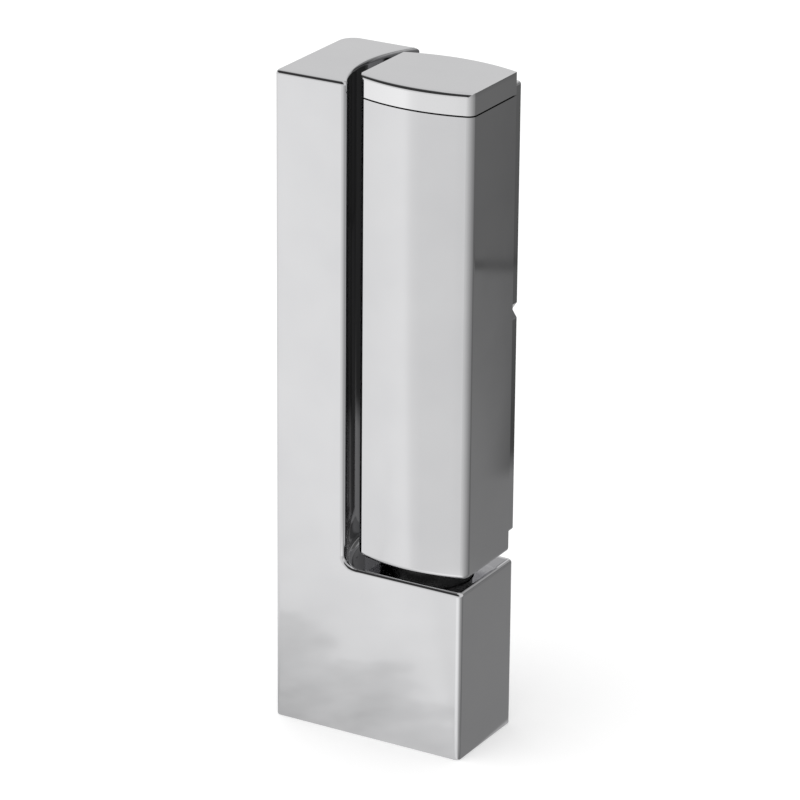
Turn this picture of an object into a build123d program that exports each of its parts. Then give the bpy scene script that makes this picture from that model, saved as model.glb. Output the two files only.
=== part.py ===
from build123d import *
import math
import os

# Cam-rise hinge. A fixed L-shaped body stands on its foot, and a barrel on the door turns on a pin
# above the foot. A pair of helical cams lifts the barrel as the door opens, so its weight closes it.
# Millimetres. +Z runs up the pin, +X to the door's side, -Y to the viewer. The origin is the centre
# of the outline at the underside of the foot.

# Fixed body, outside
body_height = 130.0
foot_height = 34.4
foot_depth = 20.3
face_offset = 5.6
arm_width = 15.7
scoop_depth = 4.0
arm_back_corner = 3.5
outer_corner = 1.0
edge_round = 0.8
underside_round = 0.3
inner_corner = 2.0

# Barrel on the door, outside
barrel_width = 23.8
barrel_side_depth = 16.0
barrel_arm_gap = 1.1
barrel_foot_gap = 2.0
barrel_front_corner = 1.8
barrel_bottom_round = 1.0
barrel_top_drop = 2.9
cap_thickness = 4.2
cap_front_round = 0.9
seam_gap = 0.3
seam_depth = 0.4

# Opening and lift
opening_angle = 120.0
lift_at_full_opening = 8.0
cam_lobes = 2
cam_clearance = 0.3
cam_step_clearance_angle = 3.0

# Clearances
running_gap = 0.05
press_gap = 0.02
end_float = 0.1
free_gap = 0.3
cut_margin = 1.0

# Pin
pin_radius = 4.0
pin_end_chamfer = 0.6
pin_collar_radius = 5.5
pin_collar_height = 2.0
pin_flat_width = 6.0
pin_groove_depth = 0.45
pin_end_drop = 1.5

# Cams and the bush in the foot
cam_radius = 7.6
cam_low_height = 3.6
upper_cam_ring_height = 11.0
foot_bush_radius = 6.0
foot_bush_height = 8.0
foot_bush_flange_radius = 7.2
foot_bush_flange_height = 1.5
collar_recess_height = 3.0
washer_thickness = 1.0
washer_radius = 7.0
ring_thickness = 1.0
ring_width = 3.0
ring_opening_angle = 50.0
pin_tail = 1.2
foot_plug_radius = 8.5
foot_plug_height = 2.5
foot_plug_lip = 1.0
foot_plug_space = 0.65

# Top bush and cap spigot
top_bush_height = 16.0
top_bush_edge = 0.6
top_ring_groove_depth = 0.6
top_ring_width = 2.2
spigot_length = 4.6
spigot_space = 1.2
cap_seal_section = 1.6

# Middle web of the barrel, which carries the plate screws
web_bore_radius = 4.6

# Mounting plate on the barrel's back
plate_width = 17.5
plate_thickness = 5.0
plate_end_gap = 1.2
plate_corner = 0.6
plate_edge = 0.3
plate_notch_depth = 1.0
plate_notch_height = 3.0
pad_side_margin = 1.5
pad_end_margin = 1.0
plate_screw_web_margin = 1.5
plate_screw_radius = 2.5
plate_screw_head_radius = 4.8
plate_screw_bite = 4.5
plate_screw_socket = 3.0
plate_screw_socket_depth = 1.6

# Fixings into the door and the cabinet frame
fixing_spacing = 64.0
thread_radius = 2.5
door_bolt_relief_radius = 3.6
door_bolt_relief_depth = 1.4
insert_radius = 3.75
insert_length = 12.0
insert_recess = 0.3
insert_groove_width = 1.0
insert_groove_depth = 0.4
insert_groove_count = 3
insert_side_wall = 2.0

# Cross pins that lock the two cams
cross_pin_radius = 1.5
cross_pin_wall = 0.5
cross_pin_slot = 0.6
cross_pin_bite = 2.6

# Cored back of the arm
core_wall = 2.5
core_front_wall = 3.0
core_corner = 1.0

# Outline of the whole, from above
body_width = arm_width + barrel_arm_gap + barrel_width
arm_depth = foot_depth + face_offset
left = -body_width / 2
right = body_width / 2
front = -arm_depth / 2
back = arm_depth / 2
foot_back = front + foot_depth
arm_waist_width = arm_width - scoop_depth
axis_x = right - barrel_width / 2
axis_y = front + foot_depth / 2
barrel_crown = (foot_depth - barrel_side_depth) / 2

# Heights of the door side
barrel_bottom_z = foot_height + barrel_foot_gap
barrel_top_z = body_height - barrel_top_drop
spigot_bottom_z = barrel_top_z - spigot_length
top_ring_z = spigot_bottom_z - spigot_space - ring_thickness
top_bush_top_z = top_ring_z - end_float
top_bush_bottom_z = top_bush_top_z - top_bush_height
plate_front = back - plate_thickness
plate_bottom_z = barrel_bottom_z + plate_end_gap
plate_top_z = barrel_top_z
plate_middle_z = (plate_bottom_z + plate_top_z) / 2
fixing_heights = [plate_middle_z - fixing_spacing / 2, plate_middle_z + fixing_spacing / 2]

# Pin and bush in the foot, stacked up from the plug
pin_bottom_z = foot_plug_height + foot_plug_lip + foot_plug_space
ring_top_z = pin_bottom_z + pin_tail + ring_thickness
washer_top_z = ring_top_z + running_gap + washer_thickness
foot_flange_z = washer_top_z + end_float
foot_bush_bottom_z = foot_flange_z + foot_bush_flange_height
foot_bush_top_z = foot_bush_bottom_z + foot_bush_height
cam_seat_z = foot_bush_top_z + collar_recess_height
foot_chamber_radius = foot_bush_flange_radius + free_gap

# Cams, which share one helicoid
cam_lead = lift_at_full_opening * 360 / opening_angle
lobe_angle = 360 / cam_lobes
lobe_rise = cam_lead * lobe_angle / 360
cam_low_z = foot_height + cam_low_height
cam_high_z = cam_low_z + lobe_rise
upper_cam_top_z = cam_high_z + cam_clearance + upper_cam_ring_height
cam_bore_radius = pin_radius + free_gap
barrel_bore_radius = cam_radius + free_gap
upper_cam_radius = barrel_bore_radius - running_gap
lower_pin_z = (cam_seat_z + foot_height) / 2
upper_pin_z = upper_cam_top_z - upper_cam_ring_height / 2
plate_screw_inset = plate_screw_radius + plate_screw_web_margin
plate_screw_heights = [upper_cam_top_z + plate_screw_inset, top_bush_bottom_z - plate_screw_inset]

# The rest of the pin and its ring
ring_inner_radius = pin_radius - pin_groove_depth + running_gap
pin_top_z = top_bush_top_z - pin_end_drop
pin_flat_bottom_z = top_bush_bottom_z - free_gap - cut_margin
pin_flat_half = pin_flat_width / 2
insert_x = left + insert_side_wall + insert_radius


def on_axis(shape):
    return Pos(axis_x, axis_y, 0) * shape


def disc(radius, low, high):
    return Pos(0, 0, low) * Cylinder(radius, high - low, align=(Align.CENTER, Align.CENTER, Align.MIN))


def tube(outer, inner, low, high):
    return disc(outer, low, high) - disc(inner, low, high)


def rod_back(x, z, radius, low_y, high_y):
    # A round bar or hole along Y at a height on the back.
    plane = Plane(origin=(x, low_y, z), x_dir=(1, 0, 0), z_dir=(0, 1, 0))
    return extrude(plane * Circle(radius), high_y - low_y)


def helical_block(low, high, start_angle, turn):
    # The space between two left-hand helicoids, low at start_angle and rising clockwise.
    inner = pin_radius / 2
    outer = barrel_bore_radius + cut_margin
    middle = (inner + outer) / 2
    rise = cam_lead * turn / 360
    path = Helix(pitch=cam_lead, height=rise, radius=middle, lefthand=True)
    section = Plane.XZ * Pos(middle, 0) * Rectangle(outer - inner, high - low)
    block = sweep(section, path=path, is_frenet=True)
    return Pos(0, 0, (low + high) / 2) * Rot(0, 0, start_angle) * block


def arm_outline():
    # The arm seen from above: flat front, left side and back, and a scooped right side.
    corner = (left + arm_width, front)
    waist = (left + arm_waist_width, 0)
    tip = (left + arm_width, back)
    scoop = ThreePointArc(corner, waist, tip)
    rest = Polyline(tip, (left, back), (left, front), corner)
    outline = make_face(scoop + rest)
    ends = outline.vertices().sort_by(Axis.X)[:2].sort_by(Axis.Y)
    outline = fillet(ends[1], arm_back_corner)
    return fillet(outline.vertices().sort_by(Axis.X)[0:4].sort_by(Axis.Y)[0], outer_corner)


def foot_outline():
    # The foot seen from above: the arm's square root and the block under the barrel.
    root = Pos(left, front) * Rectangle(arm_width, arm_depth, align=(Align.MIN, Align.MIN))
    block = Pos(left, front) * Rectangle(body_width, foot_depth, align=(Align.MIN, Align.MIN))
    outline = root + block
    points = outline.vertices()
    back_left = points.sort_by_distance((left, back, 0))[0]
    outline = fillet(back_left, arm_back_corner)
    for spot in [(left, front, 0), (right, front, 0), (right, foot_back, 0)]:
        outline = fillet(outline.vertices().sort_by_distance(spot)[0], outer_corner)
    return outline


def arm_core():
    # Pockets cored from the back of the arm between the thread bosses.
    low_x = left + core_wall
    high_x = left + arm_waist_width - core_wall
    boss = insert_radius + core_wall
    bands = [
        (edge_round + core_wall, fixing_heights[0] - boss),
        (fixing_heights[0] + boss, plate_middle_z - core_wall / 2),
        (plate_middle_z + core_wall / 2, fixing_heights[1] - boss),
    ]
    pockets = Part()
    for low, high in bands:
        size = (high_x - low_x, back - front - core_front_wall, high - low)
        place = Pos((low_x + high_x) / 2, (front + core_front_wall + back) / 2, (low + high) / 2)
        pocket = Box(size[0], size[1], size[2])
        pocket = fillet(pocket.edges().filter_by(Axis.Y), core_corner)
        pockets += place * pocket
    return pockets


def make_frame_body():
    foot = extrude(foot_outline(), foot_height)
    arm = Pos(0, 0, foot_height) * extrude(arm_outline(), body_height - foot_height)
    body = foot + arm
    root_edges = [edge for edge in body.edges().filter_by(GeomType.CIRCLE)
                  if abs(edge.center().Z - foot_height) < press_gap]
    body = fillet(max(root_edges, key=lambda edge: edge.length), inner_corner)
    front_face = body.faces().sort_by(Axis.Y)[0]
    top_face = body.faces().sort_by(Axis.Z)[-1]
    seen_edges = front_face.edges() + top_face.edges()
    rounded = [edge for edge in seen_edges if edge.center().Z > edge_round]
    body = fillet(list(dict.fromkeys(rounded)), edge_round)
    body = fillet(body.faces().sort_by(Axis.Z)[0].edges(), underside_round)
    body -= on_axis(disc(cam_radius + press_gap, cam_seat_z, body_height))
    body -= on_axis(disc(foot_bush_radius + press_gap, foot_bush_bottom_z, cam_seat_z))
    body -= on_axis(disc(foot_chamber_radius, foot_plug_height, foot_bush_bottom_z))
    body -= on_axis(disc(foot_plug_radius + press_gap, 0, foot_plug_height))
    body -= rod_back(axis_x, lower_pin_z, cross_pin_radius + press_gap, axis_y, foot_back)
    for height in fixing_heights:
        depth = insert_length + insert_recess
        body -= rod_back(insert_x, height, insert_radius + press_gap, back - depth, back)
    return body - arm_core()


def barrel_profile():
    # The barrel seen from above: flat sides, crowned front and back.
    side = barrel_width / 2
    flat = barrel_side_depth / 2
    crown = flat + barrel_crown
    front_arc = ThreePointArc((-side, -flat), (0, -crown), (side, -flat))
    right_side = Line((side, -flat), (side, flat))
    back_arc = ThreePointArc((side, flat), (0, crown), (-side, flat))
    left_side = Line((-side, flat), (-side, -flat))
    return make_face(front_arc + right_side + back_arc + left_side)


def barrel_outline():
    # The same with its two front corners softened.
    corners = barrel_profile().vertices().group_by(Axis.Y)[0]
    return fillet(corners, barrel_front_corner)


def make_barrel():
    height = barrel_top_z - barrel_bottom_z
    body = Pos(0, 0, barrel_bottom_z) * extrude(barrel_outline(), height)
    bottom_edges = body.faces().sort_by(Axis.Z)[0].edges()
    body = fillet(bottom_edges, barrel_bottom_round)
    seam = extrude(barrel_outline(), seam_gap) - extrude(offset(barrel_outline(), -seam_depth), seam_gap)
    body -= Pos(0, 0, barrel_top_z - seam_gap) * seam
    pad_low = plate_bottom_z + pad_end_margin
    pad_high = plate_top_z - pad_end_margin
    pad_depth = plate_front - axis_y
    pad = Box(plate_width - pad_side_margin * 2, pad_depth, pad_high - pad_low)
    pad = Pos(0, pad_depth / 2, (pad_low + pad_high) / 2) * pad
    body += pad
    body -= disc(barrel_bore_radius, barrel_bottom_z, upper_cam_top_z)
    body -= disc(web_bore_radius, upper_cam_top_z, top_bush_bottom_z)
    body -= disc(barrel_bore_radius, top_bush_bottom_z, barrel_top_z)
    groove_radius = barrel_bore_radius + top_ring_groove_depth
    body -= disc(groove_radius, top_ring_z - running_gap, top_ring_z + ring_thickness + running_gap)
    body = on_axis(body)
    for height in plate_screw_heights:
        tip_y = plate_front - plate_screw_bite - free_gap
        body -= rod_back(axis_x, height, plate_screw_radius + press_gap, tip_y, plate_front)
    for height in fixing_heights:
        relief_y = plate_front - door_bolt_relief_depth
        body -= rod_back(axis_x, height, door_bolt_relief_radius, relief_y, plate_front)
    body -= rod_back(axis_x, upper_pin_z, cross_pin_radius + press_gap, axis_y, plate_front)
    return body


def lobe_starts(shift):
    return [shift - lobe * lobe_angle for lobe in range(cam_lobes)]


def make_lower_cam():
    # Each ramp is low just past a step and rises clockwise to the top of the next step.
    cam = tube(cam_radius, cam_bore_radius, cam_seat_z, cam_high_z)
    for start in lobe_starts(0):
        cam -= helical_block(cam_low_z, cam_high_z + lobe_rise, start, lobe_angle)
    cam = on_axis(cam)
    bite_y = axis_y + cam_radius - cross_pin_bite
    return cam - rod_back(axis_x, lower_pin_z, cross_pin_radius + press_gap, bite_y, foot_back)


def make_upper_cam():
    # The same helicoid, raised by the running clearance and turned back from the steps.
    step_drop = cam_lead * cam_step_clearance_angle / 360
    low = cam_low_z + cam_clearance + step_drop
    cam = tube(upper_cam_radius, cam_bore_radius, low, upper_cam_top_z)
    for start in lobe_starts(-cam_step_clearance_angle):
        cam -= helical_block(low - lobe_rise, low, start, lobe_angle)
    cam = on_axis(cam)
    bite_y = axis_y + upper_cam_radius - cross_pin_bite
    return cam - rod_back(axis_x, upper_pin_z, cross_pin_radius + press_gap, bite_y, foot_back)


def make_cross_pin(height, cam_outer, end_y):
    # A rolled spring pin, split along its length.
    start_y = axis_y + cam_outer - cross_pin_bite + free_gap
    pin = rod_back(axis_x, height, cross_pin_radius, start_y, end_y)
    pin -= rod_back(axis_x, height, cross_pin_radius - cross_pin_wall, start_y, end_y)
    slot = Box(cross_pin_slot, end_y - start_y, cross_pin_radius * 2)
    return pin - Pos(axis_x, (start_y + end_y) / 2, height + cross_pin_radius) * slot


def make_foot_bush():
    bush = tube(foot_bush_radius, pin_radius + running_gap, foot_flange_z, foot_bush_top_z)
    bush += tube(foot_bush_flange_radius, pin_radius + running_gap, foot_flange_z, foot_bush_bottom_z)
    return on_axis(bush)


def make_foot_plug():
    plug = disc(foot_plug_radius, 0, foot_plug_height)
    rim_edges = plug.faces().sort_by(Axis.Z)[0].edges()
    plug = chamfer(rim_edges, foot_plug_lip / 2)
    inner = foot_chamber_radius - running_gap
    lip = tube(inner, inner - foot_plug_lip, foot_plug_height, foot_plug_height + foot_plug_lip)
    return on_axis(plug + lip)


def double_flat(low, high, radius, half_width):
    block = Box(half_width * 2, radius * 2 + cut_margin, high - low)
    return disc(radius, low, high) & Pos(0, 0, (low + high) / 2) * block


def make_hinge_pin():
    pin = disc(pin_radius, pin_bottom_z, pin_flat_bottom_z)
    pin += double_flat(pin_flat_bottom_z, pin_top_z, pin_radius, pin_flat_half)
    top_edges = pin.faces().sort_by(Axis.Z)[-1].edges()
    bottom_edges = pin.faces().sort_by(Axis.Z)[0].edges()
    pin = chamfer(list(top_edges) + list(bottom_edges), pin_end_chamfer)
    collar_z = foot_bush_top_z + end_float
    pin += disc(pin_collar_radius, collar_z, collar_z + pin_collar_height)
    groove_low = ring_top_z - ring_thickness - running_gap
    groove_high = ring_top_z + running_gap
    groove = tube(pin_radius + cut_margin, pin_radius - pin_groove_depth, groove_low, groove_high)
    return on_axis(pin - groove)


def make_thrust_washer():
    low = washer_top_z - washer_thickness
    return on_axis(tube(washer_radius, pin_radius + running_gap, low, washer_top_z))


def split_ring(outer, inner, low, direction):
    # A spring retaining ring with its gap turned to the given side.
    ring = tube(outer, inner, low, low + ring_thickness)
    gap_width = 2 * inner * math.sin(math.radians(ring_opening_angle / 2))
    gap = Pos(0, direction * outer / 2, low + ring_thickness / 2) * Box(gap_width, outer, ring_thickness * 2)
    ring -= gap
    return on_axis(fillet(ring.edges().filter_by(Axis.Z), ring_thickness / 4))


def make_pin_ring():
    outer = ring_inner_radius + ring_width
    return split_ring(outer, ring_inner_radius, ring_top_z - ring_thickness, -1)


def make_top_bush():
    bush = disc(barrel_bore_radius - press_gap, top_bush_bottom_z, top_bush_top_z)
    bush -= double_flat(
        top_bush_bottom_z, top_bush_top_z, pin_radius + running_gap, pin_flat_half + running_gap
    )
    outer_edges = bush.edges().filter_by(GeomType.CIRCLE).sort_by(Edge.length)[-2:]
    return on_axis(chamfer(outer_edges, top_bush_edge))


def make_bush_ring():
    outer = barrel_bore_radius + top_ring_groove_depth - running_gap
    return split_ring(outer, outer - top_ring_width, top_ring_z, -1)


def make_top_cap():
    cap = extrude(barrel_profile(), cap_thickness)
    front_edge = cap.faces().sort_by(Axis.Z)[-1].edges().sort_by(Axis.Y)[0]
    cap = fillet(front_edge, cap_front_round)
    cap = Pos(0, 0, barrel_top_z) * (cap & extrude(barrel_outline(), cap_thickness))
    spigot_radius = barrel_bore_radius - press_gap
    spigot = disc(spigot_radius, barrel_top_z - spigot_length, barrel_top_z)
    groove_middle = barrel_top_z - spigot_length / 2
    inner = spigot_radius - cap_seal_section
    half = cap_seal_section / 2 + running_gap
    groove = tube(spigot_radius + cut_margin, inner, groove_middle - half, groove_middle + half)
    return on_axis(cap + (spigot - groove))


def make_cap_seal():
    # A square-cut ring in the spigot's groove.
    outer = barrel_bore_radius - press_gap
    inner = outer - cap_seal_section + press_gap
    low = barrel_top_z - (spigot_length + cap_seal_section) / 2
    return on_axis(tube(outer, inner, low, low + cap_seal_section))


def make_mounting_plate():
    half = plate_width / 2
    height = plate_top_z - plate_bottom_z
    outline = Rectangle(plate_width, height)
    outline = fillet(outline.vertices(), plate_corner)
    notch_half = plate_notch_height / 2
    notch = make_face(Polyline((half, notch_half), (half - plate_notch_depth, 0), (half, -notch_half),
                               (half + cut_margin, 0), close=True))
    outline -= notch
    outline -= mirror(notch, Plane.YZ)
    plane = Plane(origin=(axis_x, plate_front, plate_middle_z), x_dir=(1, 0, 0), z_dir=(0, -1, 0))
    plate = extrude(plane * outline, -plate_thickness)
    lips = [edge for edge in plate.edges().filter_by(Axis.Y)
            if abs(edge.center().Z - plate_middle_z) < plate_notch_height]
    plate = fillet(lips, plate_notch_depth / 3)
    plate = chamfer(plate.faces().sort_by(Axis.Y)[-1].outer_wire().edges(), plate_edge)
    for height in fixing_heights:
        plate -= rod_back(axis_x, height, thread_radius, plate_front, back)
    for height in plate_screw_heights:
        plate -= rod_back(axis_x, height, plate_screw_radius + press_gap, plate_front, back)
        plate -= screw_head(height, press_gap)
    return plate


def screw_head(height, gap):
    # The countersunk cone, wide at the plate's back.
    depth = plate_screw_head_radius - plate_screw_radius
    plane = Plane(origin=(axis_x, back - depth / 2, height), x_dir=(1, 0, 0), z_dir=(0, 1, 0))
    return plane * Cone(plate_screw_radius + gap, plate_screw_head_radius + gap, depth)


def make_plate_screw(height):
    screw = rod_back(axis_x, height, plate_screw_radius, plate_front - plate_screw_bite, back)
    screw += screw_head(height, 0)
    socket_plane = Plane(origin=(axis_x, back, height), x_dir=(1, 0, 0), z_dir=(0, 1, 0))
    socket = socket_plane * RegularPolygon(plate_screw_socket / 2, 6, major_radius=False)
    return screw - extrude(socket, -plate_screw_socket_depth)


def make_insert(height):
    # A thread insert with a grooved outside, set a little below the back of the arm.
    mouth = back - insert_recess
    insert = rod_back(insert_x, height, insert_radius, mouth - insert_length, mouth)
    insert -= rod_back(insert_x, height, thread_radius, mouth - insert_length, mouth)
    pitch = insert_length / (insert_groove_count + 1)
    for number in range(insert_groove_count):
        middle = mouth - (number + 1) * pitch
        low_y = middle - insert_groove_width / 2
        high_y = middle + insert_groove_width / 2
        band = rod_back(insert_x, height, insert_radius + cut_margin, low_y, high_y)
        band -= rod_back(insert_x, height, insert_radius - insert_groove_depth, low_y, high_y)
        insert -= band
    return insert


def build_pieces():
    pieces = {
        "frame_body": make_frame_body(),
        "lower_cam": make_lower_cam(),
        "lower_cam_pin": make_cross_pin(lower_pin_z, cam_radius, foot_back - edge_round),
        "foot_bush": make_foot_bush(),
        "foot_plug": make_foot_plug(),
        "lower_thread_insert": make_insert(fixing_heights[0]),
        "upper_thread_insert": make_insert(fixing_heights[1]),
        "hinge_pin": make_hinge_pin(),
        "thrust_washer": make_thrust_washer(),
        "pin_retaining_ring": make_pin_ring(),
        "barrel": make_barrel(),
        "upper_cam": make_upper_cam(),
        "upper_cam_pin": make_cross_pin(upper_pin_z, upper_cam_radius, plate_front - free_gap),
        "top_bush": make_top_bush(),
        "top_bush_ring": make_bush_ring(),
        "top_cap": make_top_cap(),
        "cap_seal": make_cap_seal(),
        "mounting_plate": make_mounting_plate(),
        "lower_plate_screw": make_plate_screw(plate_screw_heights[0]),
        "upper_plate_screw": make_plate_screw(plate_screw_heights[1]),
    }
    return pieces


os.makedirs("parts", exist_ok=True)
for name, piece in build_pieces().items():
    piece.label = name
    export_step(piece, f"parts/{name}.step")
    print(f"{name}: {piece.volume:.1f} mm3")
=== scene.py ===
import math

import bpy
from mathutils import Matrix, Vector

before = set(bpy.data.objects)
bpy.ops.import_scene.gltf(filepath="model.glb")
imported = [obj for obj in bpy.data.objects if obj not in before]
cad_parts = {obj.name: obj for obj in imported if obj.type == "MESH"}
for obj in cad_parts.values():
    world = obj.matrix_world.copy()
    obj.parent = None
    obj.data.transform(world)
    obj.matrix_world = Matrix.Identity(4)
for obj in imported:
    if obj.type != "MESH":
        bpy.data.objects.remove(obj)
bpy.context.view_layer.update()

mm = 0.001
print("frame loaded:", len(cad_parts), "nodes")


def linear(hexColour):
    # sRGB hex to the linear values that a shader takes
    channels = [int(hexColour[i:i + 2], 16) / 255 for i in (0, 2, 4)]
    return [c / 12.92 if c <= 0.04045 else ((c + 0.055) / 1.055) ** 2.4 for c in channels] + [1.0]


def addNode(tree, kind, settings=None, inputs=None):
    # one shader node with its settings; each input is a plain value or the socket that feeds it
    node = tree.nodes.new(kind)
    for name, value in (settings or {}).items():
        setattr(node, name, value)
    for name, value in (inputs or {}).items():
        if isinstance(value, bpy.types.NodeSocket):
            tree.links.new(value, node.inputs[name])
        else:
            node.inputs[name].default_value = value
    return node


# a Mix node set to colour has its factor, two colours and result in these sockets
mixFactor, mixFirst, mixSecond, mixResult = 0, 6, 7, 2


def brightnessBy(tree, pairs, measure):
    # a colour ramp through (measure, brightness) pairs, which span all the measures that matter
    low, high = pairs[0][0], pairs[-1][0]
    share = addNode(tree, "ShaderNodeMapRange", inputs={
        "Value": measure, "From Min": low, "From Max": high})
    ramp = addNode(tree, "ShaderNodeValToRGB", inputs={"Fac": share.outputs["Result"]})
    stops = ramp.color_ramp.elements
    while len(stops) > 1:
        stops.remove(stops[-1])
    for number, (at, brightness) in enumerate(pairs):
        position = (at - low) / (high - low)
        stop = stops[0] if number == 0 else stops.new(position)
        stop.position = position
        stop.color = (brightness, brightness, brightness, 1)
    return ramp.outputs["Color"]


def bearingOf(tree, direction):
    # degrees from the front, which is -Y, turning right
    axes = addNode(tree, "ShaderNodeSeparateXYZ", inputs={"Vector": direction})
    forward = addNode(tree, "ShaderNodeMath", {"operation": "MULTIPLY"}, {
        0: axes.outputs["Y"], 1: -1.0})
    angle = addNode(tree, "ShaderNodeMath", {"operation": "ARCTAN2"}, {
        0: axes.outputs["X"], 1: forward.outputs[0]})
    degrees = addNode(tree, "ShaderNodeMath", {"operation": "DEGREES"}, {0: angle.outputs[0]})
    return degrees.outputs[0]


def newMaterial(name):
    material = bpy.data.materials.new(name)
    material.use_nodes = True
    material.node_tree.nodes.clear()
    return material, material.node_tree


def paint(piece, material):
    piece.data.materials.clear()
    piece.data.materials.append(material)


# Camera, placed as the photo was taken: to the right of the front and a little above
camera = {
    "yaw": 30.02,  # degrees
    "pitch": 21.31,
    "roll": 0.49,
    "distance": 0.836,  # metres from the point looked at
    "focalPixels": 4458,
    "imagePixels": 800,
    "sensor": 36.0,
    "lookAt": (-0.0002, -0.00395, 0.065),
    "slide": (0.0016, 0.00112),  # metres right and up
    "clip": (0.01, 20),
}


def makeCamera(settings):
    yaw, pitch, roll = (math.radians(settings[k]) for k in ("yaw", "pitch", "roll"))
    forward = Vector((-math.sin(yaw) * math.cos(pitch), math.cos(yaw) * math.cos(pitch),
                      -math.sin(pitch)))
    flatRight = Vector((math.cos(yaw), math.sin(yaw), 0))
    flatUp = flatRight.cross(forward)
    right = math.cos(roll) * flatRight + math.sin(roll) * flatUp
    up = math.cos(roll) * flatUp - math.sin(roll) * flatRight
    place = Vector(settings["lookAt"]) - forward * settings["distance"]
    place += right * settings["slide"][0] + up * settings["slide"][1]
    data = bpy.data.cameras.new("photoCamera")
    data.sensor_width = settings["sensor"]
    data.lens = settings["sensor"] * settings["focalPixels"] / settings["imagePixels"]
    data.clip_start, data.clip_end = settings["clip"]
    holder = bpy.data.objects.new("photoCamera", data)
    bpy.context.collection.objects.link(holder)
    turn = Matrix((right, up, -forward)).transposed().to_4x4()
    holder.matrix_world = Matrix.Translation(place) @ turn
    bpy.context.scene.camera = holder


makeCamera(camera)
print("camera placed")

# Chrome plate on a polished zinc casting: a bright cold mirror. The casting under it isn't dead flat,
# so reflections swim a little, and polishing leaves a faint haze.
chrome = {
    "colour": "e6e6e7",
    "hazeColour": "dcdcde",
    "roughness": 0.05,
    "hazeRoughness": 0.1,
    "hazeSize": 14 * mm,
    "hazeDetail": 4.0,
    "hazeRange": (0.35, 0.7),  # noise values between which it goes from clear to hazy
    "waveSize": 22 * mm,
    "waveDetail": 1.0,
    "waveHeight": 0.018 * mm,
}


def makeChrome(name, settings, finish=None):
    # finish takes the tree, the place, the colour and the roughness, and returns the last two
    material, tree = newMaterial(name)
    place = addNode(tree, "ShaderNodeTexCoord").outputs["Object"]
    haze = addNode(tree, "ShaderNodeTexNoise", inputs={
        "Vector": place, "Scale": 1 / settings["hazeSize"], "Detail": settings["hazeDetail"]})
    wave = addNode(tree, "ShaderNodeTexNoise", inputs={
        "Vector": place, "Scale": 1 / settings["waveSize"], "Detail": settings["waveDetail"]})
    tint = addNode(tree, "ShaderNodeMix", {"data_type": "RGBA"}, {
        mixFactor: haze.outputs["Fac"], mixFirst: linear(settings["colour"]),
        mixSecond: linear(settings["hazeColour"])})
    clear, hazy = settings["hazeRange"]
    sheen = addNode(tree, "ShaderNodeMapRange", inputs={
        "Value": haze.outputs["Fac"], "From Min": clear, "From Max": hazy,
        "To Min": settings["roughness"], "To Max": settings["hazeRoughness"]})
    bump = addNode(tree, "ShaderNodeBump", inputs={
        "Height": wave.outputs["Fac"], "Strength": 1.0, "Distance": settings["waveHeight"]})
    colour, roughness = tint.outputs[mixResult], sheen.outputs["Result"]
    if finish:
        colour, roughness = finish(tree, place, colour, roughness)
    shader = addNode(tree, "ShaderNodeBsdfPrincipled", inputs={
        "Base Color": colour, "Metallic": 1.0, "Roughness": roughness,
        "Normal": bump.outputs["Normal"]})
    addNode(tree, "ShaderNodeOutputMaterial", inputs={"Surface": shader.outputs["BSDF"]})
    return material


# The body's hollows. The arm's deep scoop gets painted shade, a dark grey chrome, and
# the pockets cored from the back keep the casting's satin skin under the chrome.
hollows = {
    "scoopAxis": (14.36 * mm, 0, 0),
    "scoopRadius": 22.96 * mm,
    "scoopEdge": (0.05 * mm, 0.35 * mm),  # outside the radius, where the painted shade ends
    "footTop": (34.4 * mm, 36.4 * mm),  # heights between which the painted shade starts
    "scoopPaintedShadeColour": "6c6c6e",
    "pocketMiddle": (-14.45 * mm, 1.49 * mm, 61 * mm),
    "pocketReach": (3.4 * mm, 11.43 * mm, 58 * mm),
    "pocketColour": "98989b",
    "pocketRoughness": 0.36,
}


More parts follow.
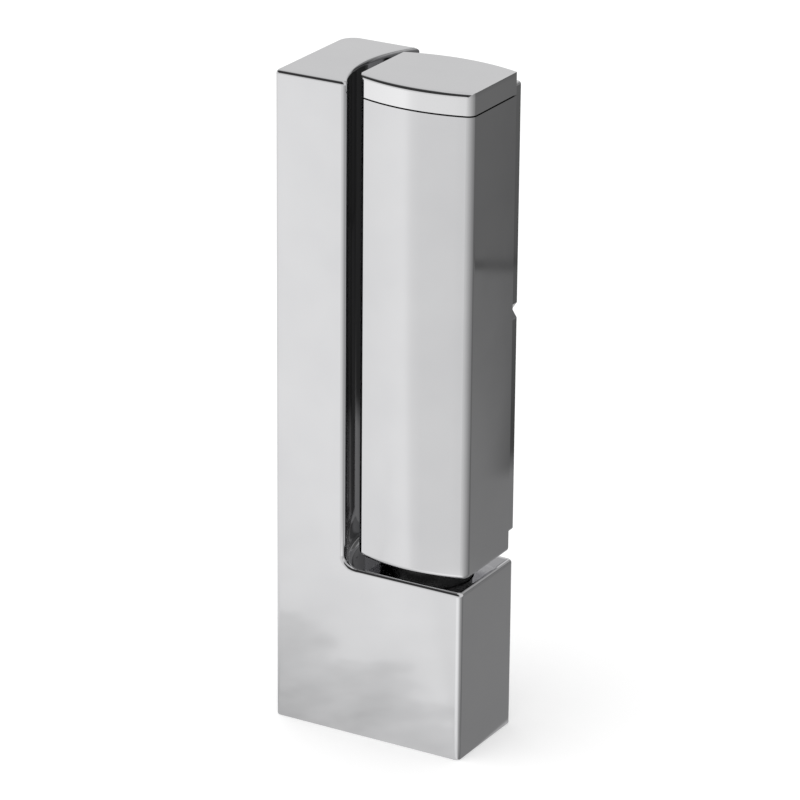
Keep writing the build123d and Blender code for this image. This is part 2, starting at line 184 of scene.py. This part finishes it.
def shadeScoopAndDullPockets(tree, place, colour, roughness):
    # painted shade: the scoop lies within a radius of an upright axis and above the foot
    fromAxis = addNode(tree, "ShaderNodeVectorMath", {"operation": "SUBTRACT"}, {
        0: place, 1: hollows["scoopAxis"]})
    across = addNode(tree, "ShaderNodeVectorMath", {"operation": "MULTIPLY"}, {
        0: fromAxis.outputs["Vector"], 1: (1, 1, 0)})
    distance = addNode(tree, "ShaderNodeVectorMath", {"operation": "LENGTH"}, {
        0: across.outputs["Vector"]})
    full, none = (hollows["scoopRadius"] + edge for edge in hollows["scoopEdge"])
    inShadedScoop = addNode(tree, "ShaderNodeMapRange", inputs={
        "Value": distance.outputs["Value"], "From Min": full, "From Max": none,
        "To Min": 1.0, "To Max": 0.0})
    axes = addNode(tree, "ShaderNodeSeparateXYZ", inputs={"Vector": place})
    aboveFoot = addNode(tree, "ShaderNodeMapRange", inputs={
        "Value": axes.outputs["Z"], "From Min": hollows["footTop"][0],
        "From Max": hollows["footTop"][1]})
    scoopShade = addNode(tree, "ShaderNodeMath", {"operation": "MULTIPLY"}, {
        0: inShadedScoop.outputs["Result"], 1: aboveFoot.outputs["Result"]})
    # the pockets lie within reach of one middle along all three axes
    pocket = 1.0
    for axis, middle, reach in zip(axes.outputs, hollows["pocketMiddle"], hollows["pocketReach"]):
        within = addNode(tree, "ShaderNodeMath", {"operation": "COMPARE"}, {
            0: axis, 1: middle, 2: reach})
        both = addNode(tree, "ShaderNodeMath", {"operation": "MULTIPLY"}, {
            0: pocket, 1: within.outputs[0]})
        pocket = both.outputs[0]
    # painted shade: the scoop's chrome turns dark grey, while the satin pockets are the casting's own
    # finish
    grey = addNode(tree, "ShaderNodeMix", {"data_type": "RGBA"}, {
        mixFactor: scoopShade.outputs[0], mixFirst: colour, mixSecond: linear(hollows["scoopPaintedShadeColour"])})
    satin = addNode(tree, "ShaderNodeMix", {"data_type": "RGBA"}, {
        mixFactor: pocket, mixFirst: grey.outputs[mixResult],
        mixSecond: linear(hollows["pocketColour"])})
    duller = addNode(tree, "ShaderNodeMath", {"operation": "MULTIPLY_ADD"}, {
        0: pocket, 1: hollows["pocketRoughness"], 2: roughness})
    return satin.outputs[mixResult], duller.outputs[0]


# Painted shade: the groove under the cap is coloured as a dark, rougher line where shade falls
# between cap and barrel
seamShade = {
    "middle": 126.95 * mm,
    "reach": 0.16 * mm,
    "colour": "2c2c2d",
    "roughness": 0.4,
}


def paintedSeamShade(tree, place, colour, roughness):
    axes = addNode(tree, "ShaderNodeSeparateXYZ", inputs={"Vector": place})
    grooveShadeMask = addNode(tree, "ShaderNodeMath", {"operation": "COMPARE"}, {
        0: axes.outputs["Z"], 1: seamShade["middle"], 2: seamShade["reach"]}).outputs[0]
    # painted shade in the groove: the chrome turns dark grey there
    shadedGroove = addNode(tree, "ShaderNodeMix", {"data_type": "RGBA"}, {
        mixFactor: grooveShadeMask, mixFirst: colour, mixSecond: linear(seamShade["colour"])})
    duller = addNode(tree, "ShaderNodeMath", {"operation": "MULTIPLY_ADD"}, {
        0: grooveShadeMask, 1: seamShade["roughness"], 2: roughness})
    return shadedGroove.outputs[mixResult], duller.outputs[0]


# Painted highlight: the cap's rim is coloured a little brighter than its top
rimHighlight = {
    "colour": "f2f2f3",
    "fadeStart": 130.3 * mm,
    "fadeEnd": 131.2 * mm,
}


def paintedRimHighlight(tree, place, colour, roughness):
    axes = addNode(tree, "ShaderNodeSeparateXYZ", inputs={"Vector": place})
    below = addNode(tree, "ShaderNodeMapRange", inputs={
        "Value": axes.outputs["Z"], "From Min": rimHighlight["fadeStart"], "From Max": rimHighlight["fadeEnd"],
        "To Min": 1.0, "To Max": 0.0})
    # painted highlight: the chrome is lighter below the cap's top
    bright = addNode(tree, "ShaderNodeMix", {"data_type": "RGBA"}, {
        mixFactor: below.outputs["Result"], mixFirst: colour, mixSecond: linear(rimHighlight["colour"])})
    return bright.outputs[mixResult], roughness


chromeNodes = {
    "frame_body": makeChrome("chromePlateWithScoopShadeAndSatinPockets", chrome, shadeScoopAndDullPockets),
    "barrel": makeChrome("chromePlateWithSeamShade", chrome, paintedSeamShade),
    "top_cap": makeChrome("chromePlateWithRimHighlight", chrome, paintedRimHighlight),
    "mounting_plate": makeChrome("chromePlate", chrome),
}
for nodeName, material in chromeNodes.items():
    paint(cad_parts[nodeName], material)
print("chrome on the castings and the plate")

# Stainless steel, turned or ground: a grey sheen with fine tool marks
steel = {
    "colour": "b9b9bb",
    "roughness": 0.26,
    "grainWidth": 0.08 * mm,
    "bumpShare": 0.1,  # of the grain's width
    "metallic": 1.0,
}

# Black acetal, machined: a soft waxy sheen with fine turning marks
acetal = {
    "colour": "141415",
    "roughness": 0.36,
    "grainWidth": 0.15 * mm,
    "bumpShare": 0.1,
    "metallic": 0.0,
}

# Polyamide, moulded black: duller, with a fine spark-eroded grain
polyamide = {
    "colour": "1b1b1c",
    "roughness": 0.55,
    "grainWidth": 0.4 * mm,
    "bumpShare": 0.12,
    "metallic": 0.0,
}

# what the fine grain of all three has in common
grain = {
    "detail": 2.0,
    "strength": 0.2,
}


def makeFine(name, settings):
    material, tree = newMaterial(name)
    place = addNode(tree, "ShaderNodeTexCoord").outputs["Object"]
    noise = addNode(tree, "ShaderNodeTexNoise", inputs={
        "Vector": place, "Scale": 1 / settings["grainWidth"], "Detail": grain["detail"]})
    bump = addNode(tree, "ShaderNodeBump", inputs={
        "Height": noise.outputs["Fac"], "Strength": grain["strength"],
        "Distance": settings["grainWidth"] * settings["bumpShare"]})
    shader = addNode(tree, "ShaderNodeBsdfPrincipled", inputs={
        "Base Color": linear(settings["colour"]), "Metallic": settings["metallic"],
        "Roughness": settings["roughness"], "Normal": bump.outputs["Normal"]})
    addNode(tree, "ShaderNodeOutputMaterial", inputs={"Surface": shader.outputs["BSDF"]})
    return material


steelMaterial = makeFine("groundSteel", steel)
acetalMaterial = makeFine("machinedAcetal", acetal)
polyamideMaterial = makeFine("mouldedPolyamide", polyamide)
plasticNodes = {
    "lower_cam": acetalMaterial,
    "upper_cam": acetalMaterial,
    "foot_bush": acetalMaterial,
    "top_bush": acetalMaterial,
    "foot_plug": polyamideMaterial,
    "cap_seal": polyamideMaterial,
}
for nodeName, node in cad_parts.items():
    if nodeName not in chromeNodes:
        paint(node, plasticNodes.get(nodeName, steelMaterial))
print("finishes on the inner pieces")

# Floor. It is white to the camera. To metal it glows with a painted reflection of grey cards of a
# light tent: bright to the front and left, dim to the right and at the back right, and mid grey
# behind, with painted shade of the object near it. Bearings are degrees from the front, turning
# right, seen from the foot's front right corner, and distances are metres from there. Each pair
# ends with a brightness, or with a share of one for the names in Near.
floorLook = {
    "size": 3.0,
    "colour": "f2f2f2",
    "lift": [(0.0, 0.3), (0.3, 0.3), (0.8, 0.42)],  # the lamp reaches the far floor less
    "corner": (0.0203, -0.01295, 0),
    "frontRing": [
        (-180, 0.0), (-160, 0.0), (-150, 0.84), (-75, 0.86), (-55, 0.9), (-38, 0.93), (-35, 0.92),
        (-30, 0.82), (-24, 0.78), (0, 0.77), (10, 0.71), (20, 0.65), (40, 0.54), (65, 0.42),
        (90, 0.3), (110, 0.23), (125, 0.2), (140, 0.0), (180, 0.0)],
    "frontNear": [
        (-0.02, 0.64), (-0.015, 0.68), (-0.01, 0.725), (-0.005, 0.76), (0.0, 0.785), (0.005, 0.815),
        (0.008, 0.845), (0.012, 0.92), (0.02, 0.95), (0.035, 0.98), (0.06, 1.0)],
    "frontDirection": (0.5, -1.0, 0),  # along which frontNear's distance is taken
    "leftStart": 0.07,  # or to the left, from this far on, whichever is more
    "cloudSize": 20 * mm,
    "cloudDetail": 3.0,
    "cloudMean": 0.5,
    "cloudDepth": 0.8,
    "cloudWander": 50 * mm,
    "cornerRing": [
        (-180, 0.0), (-32, 0.0), (-24, 0.2), (20, 0.3), (40, 0.2), (60, 0.0), (180, 0.0)],
    "cornerNear": [(0.0, 1.0), (0.075, 1.0), (0.088, 0.0), (0.4, 0.0)],
    "rightRing": [(-180, 0.0), (125, 0.0), (140, 1.0), (153, 1.0), (157, 0.0), (180, 0.0)],
    "rightNearRing": [(-180, 0.0), (125, 0.0), (140, 1.0), (180, 1.0)],
    "rightNear": [(0.0, 1.0), (0.14, 1.0), (0.16, 0.0), (0.4, 0.0)],
    "rightDirection": (0.5, 0.866, 0),  # bearing 150, along which these distances are taken
    "rightAlong": [
        (0.0, 0.23), (0.09, 0.22), (0.1, 0.206), (0.141, 0.198), (0.192, 0.184), (0.275, 0.158),
        (0.278, 0.075), (0.282, 0.075), (0.285, 0.128), (0.4, 0.128)],
    "backRing": [
        (-180, 0.5), (-160, 0.5), (-150, 0.0), (150, 0.0), (158, 0.06), (175, 0.06), (179, 0.5),
        (180, 0.5)],
    "backNearRing": [
        (-180, 0.5), (-150, 0.0), (159, 0.0), (166, 0.35), (174, 0.5), (180, 0.5)],
    "backNear": [(0.0, 0.0), (0.07, 0.0), (0.08, 1.0), (0.14, 1.0), (0.16, 0.0), (0.4, 0.0)],
    "glow": 0.012,  # the least that metal sees of it
}


def frontOfFloor(tree, settings, place, fromCorner, bearing):
    # painted reflection: bright, with painted shade dimmer near the object, where its edge wanders
    # and its shade varies like cloud
    cloud = addNode(tree, "ShaderNodeTexNoise", inputs={
        "Vector": place, "Scale": 1 / settings["cloudSize"], "Detail": settings["cloudDetail"]})
    cloudy = addNode(tree, "ShaderNodeMath", {"operation": "SUBTRACT"}, {
        0: cloud.outputs["Fac"], 1: settings["cloudMean"]})
    straight = addNode(tree, "ShaderNodeVectorMath", {"operation": "DOT_PRODUCT"}, {
        0: fromCorner, 1: settings["frontDirection"]})
    ahead = addNode(tree, "ShaderNodeMath", {"operation": "MULTIPLY_ADD"}, {
        0: cloudy.outputs[0], 1: settings["cloudWander"], 2: straight.outputs["Value"]})
    axes = addNode(tree, "ShaderNodeSeparateXYZ", inputs={"Vector": fromCorner})
    beside = addNode(tree, "ShaderNodeMath", {"operation": "MULTIPLY_ADD"}, {
        0: axes.outputs["X"], 1: -1.0, 2: -settings["leftStart"]})
    distance = addNode(tree, "ShaderNodeMath", {"operation": "MAXIMUM"}, {
        0: ahead.outputs[0], 1: beside.outputs[0]})
    near = brightnessBy(tree, settings["frontNear"], distance.outputs[0])
    dimmed = addNode(tree, "ShaderNodeMath", {"operation": "SUBTRACT"}, {0: 1.0, 1: near})
    uneven = addNode(tree, "ShaderNodeMath", {"operation": "MULTIPLY"}, {
        0: cloudy.outputs[0], 1: settings["cloudDepth"]})
    share = addNode(tree, "ShaderNodeMath", {"operation": "MULTIPLY_ADD"}, {
        0: dimmed.outputs[0], 1: uneven.outputs[0], 2: near})
    front = addNode(tree, "ShaderNodeMath", {"operation": "MULTIPLY"}, {
        0: brightnessBy(tree, settings["frontRing"], bearing), 1: share.outputs[0]})
    return front.outputs[0]


def sidesOfFloor(tree, settings, along, bearing):
    # painted reflection: dim to the right, over more bearings near the object, with a painted dark
    # band between two cards
    close = addNode(tree, "ShaderNodeMath", {"operation": "MULTIPLY"}, {
        0: brightnessBy(tree, settings["rightNearRing"], bearing),
        1: brightnessBy(tree, settings["rightNear"], along)})
    turned = addNode(tree, "ShaderNodeMath", {"operation": "MAXIMUM"}, {
        0: brightnessBy(tree, settings["rightRing"], bearing), 1: close.outputs[0]})
    right = addNode(tree, "ShaderNodeMath", {"operation": "MULTIPLY"}, {
        0: turned.outputs[0], 1: brightnessBy(tree, settings["rightAlong"], along)})
    # mid grey behind, and over more bearings near the object
    closeBehind = addNode(tree, "ShaderNodeMath", {"operation": "MULTIPLY"}, {
        0: brightnessBy(tree, settings["backNearRing"], bearing),
        1: brightnessBy(tree, settings["backNear"], along)})
    behind = addNode(tree, "ShaderNodeMath", {"operation": "MAXIMUM"}, {
        0: closeBehind.outputs[0], 1: brightnessBy(tree, settings["backRing"], bearing)})
    sides = addNode(tree, "ShaderNodeMath", {"operation": "MAXIMUM"}, {
        0: right.outputs[0], 1: behind.outputs[0]})
    return sides.outputs[0]


def makeFloor(settings):
    half = settings["size"] / 2
    mesh = bpy.data.meshes.new("studioFloor")
    corners = [(-half, -half, 0), (half, -half, 0), (half, half, 0), (-half, half, 0)]
    mesh.from_pydata(corners, [], [(0, 1, 2, 3)])
    floor = bpy.data.objects.new("studioFloor", mesh)
    bpy.context.collection.objects.link(floor)
    material, tree = newMaterial("paleFloor")
    path = addNode(tree, "ShaderNodeLightPath")
    place = addNode(tree, "ShaderNodeTexCoord").outputs["Object"]
    fromCorner = addNode(tree, "ShaderNodeVectorMath", {"operation": "SUBTRACT"}, {
        0: place, 1: settings["corner"]}).outputs["Vector"]
    away = addNode(tree, "ShaderNodeVectorMath", {"operation": "LENGTH"}, {
        0: fromCorner}).outputs["Value"]
    along = addNode(tree, "ShaderNodeVectorMath", {"operation": "DOT_PRODUCT"}, {
        0: fromCorner, 1: settings["rightDirection"]}).outputs["Value"]
    bearing = bearingOf(tree, fromCorner)

    # painted reflection: what metal sees
    front = frontOfFloor(tree, settings, place, fromCorner, bearing)
    corner = addNode(tree, "ShaderNodeMath", {"operation": "MULTIPLY"}, {
        0: brightnessBy(tree, settings["cornerRing"], bearing),
        1: brightnessBy(tree, settings["cornerNear"], away)})
    frontAndCorner = addNode(tree, "ShaderNodeMath", {"operation": "ADD"}, {
        0: front, 1: corner.outputs[0]})
    allRound = addNode(tree, "ShaderNodeMath", {"operation": "ADD"}, {
        0: frontAndCorner.outputs[0], 1: sidesOfFloor(tree, settings, along, bearing)})
    mirrored = addNode(tree, "ShaderNodeMath", {"operation": "ADD"}, {
        0: allRound.outputs[0], 1: settings["glow"]})
    paintedReflection = addNode(tree, "ShaderNodeEmission", inputs={
        "Color": (1, 1, 1, 1), "Strength": mirrored.outputs[0]})

    # what the camera and plain surfaces see, with the object's shadow
    diffuse = addNode(tree, "ShaderNodeBsdfDiffuse", inputs={"Color": linear(settings["colour"])})
    lift = addNode(tree, "ShaderNodeMath", {"operation": "MULTIPLY"}, {
        0: path.outputs["Is Camera Ray"], 1: brightnessBy(tree, settings["lift"], away)})
    glow = addNode(tree, "ShaderNodeEmission", inputs={
        "Color": (1, 1, 1, 1), "Strength": lift.outputs[0]})
    plain = addNode(tree, "ShaderNodeAddShader", inputs={0: diffuse.outputs[0], 1: glow.outputs[0]})
    whole = addNode(tree, "ShaderNodeMixShader", inputs={
        0: path.outputs["Is Glossy Ray"], 1: plain.outputs[0], 2: paintedReflection.outputs[0]})
    addNode(tree, "ShaderNodeOutputMaterial", inputs={"Surface": whole.outputs[0]})
    paint(floor, material)


# Surround. It is white to the camera and lights the object evenly. In metal it shows as a grey tent
# that is dark to the front left above the horizon, with a card at the back right that is half as
# bright and has a darker band, and a bright opening straight above. Heights are sines of the
# elevation, and each pair ends with a share of windowGlow.
surroundLook = {
    "lightColour": "d0d0d0",
    "windowGlow": 0.67,
    "ceilingGlow": 0.04,
    "windowRing": [(-180, 1.0), (137, 1.0), (143, 0.0), (170, 0.0), (176, 1.0), (180, 1.0)],
    "windowHeight": [(-1.0, 1.0), (0.22, 1.0), (0.3, 0.0), (1.0, 0.0)],
    "darkDirection": (-0.48, -0.87, 0),  # bearing -29
    "darkAway": [(-1.0, 1.0), (0.1, 1.0), (0.45, 0.0), (1.0, 0.0)],
    "openingHeight": [(-1.0, 0.0), (0.91, 0.0), (0.95, 1.0), (1.0, 1.0)],
    "cardRing": [(-180, 0.0), (137, 0.0), (143, 0.5), (170, 0.5), (176, 0.0), (180, 0.0)],
    "cardHeight": [
        (-1.0, 1.0), (0.05, 1.0), (0.09, 0.3), (0.29, 0.3), (0.35, 1.0), (1.0, 1.0)],
}


def makeSurround(settings):
    world = bpy.data.worlds.new("studioSurround")
    bpy.context.scene.world = world
    world.use_nodes = True
    tree = world.node_tree
    tree.nodes.clear()
    path = addNode(tree, "ShaderNodeLightPath")
    direction = addNode(tree, "ShaderNodeTexCoord").outputs["Generated"]
    height = addNode(tree, "ShaderNodeSeparateXYZ", inputs={"Vector": direction}).outputs["Z"]
    bearing = bearingOf(tree, direction)
    toDark = addNode(tree, "ShaderNodeVectorMath", {"operation": "DOT_PRODUCT"}, {
        0: direction, 1: settings["darkDirection"]})
    tent = addNode(tree, "ShaderNodeMath", {"operation": "MAXIMUM"}, {
        0: brightnessBy(tree, settings["darkAway"], toDark.outputs["Value"]),
        1: brightnessBy(tree, settings["windowHeight"], height)})
    window = addNode(tree, "ShaderNodeMath", {"operation": "MULTIPLY"}, {
        0: tent.outputs[0], 1: brightnessBy(tree, settings["windowRing"], bearing)})
    opened = addNode(tree, "ShaderNodeMath", {"operation": "MAXIMUM"}, {
        0: window.outputs[0], 1: brightnessBy(tree, settings["openingHeight"], height)})
    card = addNode(tree, "ShaderNodeMath", {"operation": "MULTIPLY"}, {
        0: brightnessBy(tree, settings["cardRing"], bearing),
        1: brightnessBy(tree, settings["cardHeight"], height)})
    shares = addNode(tree, "ShaderNodeMath", {"operation": "MAXIMUM"}, {
        0: opened.outputs[0], 1: card.outputs[0]})
    mirrored = addNode(tree, "ShaderNodeMath", {"operation": "MULTIPLY_ADD"}, {
        0: shares.outputs[0], 1: settings["windowGlow"], 2: settings["ceilingGlow"]}).outputs[0]
    grey = addNode(tree, "ShaderNodeCombineColor", inputs={
        "Red": mirrored, "Green": mirrored, "Blue": mirrored})
    lit = addNode(tree, "ShaderNodeMix", {"data_type": "RGBA"}, {
        mixFactor: path.outputs["Is Glossy Ray"], mixFirst: linear(settings["lightColour"]),
        mixSecond: grey.outputs["Color"]})
    whole = addNode(tree, "ShaderNodeMix", {"data_type": "RGBA"}, {
        mixFactor: path.outputs["Is Camera Ray"], mixFirst: lit.outputs[mixResult],
        mixSecond: (1, 1, 1, 1)})
    sky = addNode(tree, "ShaderNodeBackground", inputs={
        "Color": whole.outputs[mixResult], "Strength": 1.0})
    addNode(tree, "ShaderNodeOutputWorld", inputs={"Surface": sky.outputs[0]})


# Softbox above the front left, which gives the soft shadow and isn't seen in the metal
softbox = {
    "place": (-0.3, -0.3, 1.2),
    "target": (0, 0, 0),
    "size": (1.2, 1.2),
    "power": 7.0,  # watts
}


def makeLamp(name, settings):
    data = bpy.data.lights.new(name, "AREA")
    data.shape = "RECTANGLE"
    data.size, data.size_y = settings["size"]
    data.energy = settings["power"]
    lamp = bpy.data.objects.new(name, data)
    bpy.context.collection.objects.link(lamp)
    place = Vector(settings["place"])
    aim = (Vector(settings["target"]) - place).normalized()
    turn = aim.to_track_quat("-Z", "Y").to_matrix().to_4x4()
    lamp.matrix_world = Matrix.Translation(place) @ turn
    lamp.visible_glossy = False


makeFloor(floorLook)
makeSurround(surroundLook)
makeLamp("overheadSoftbox", softbox)
print("studio set")

scene = bpy.context.scene
scene.view_settings.view_transform = "Standard"
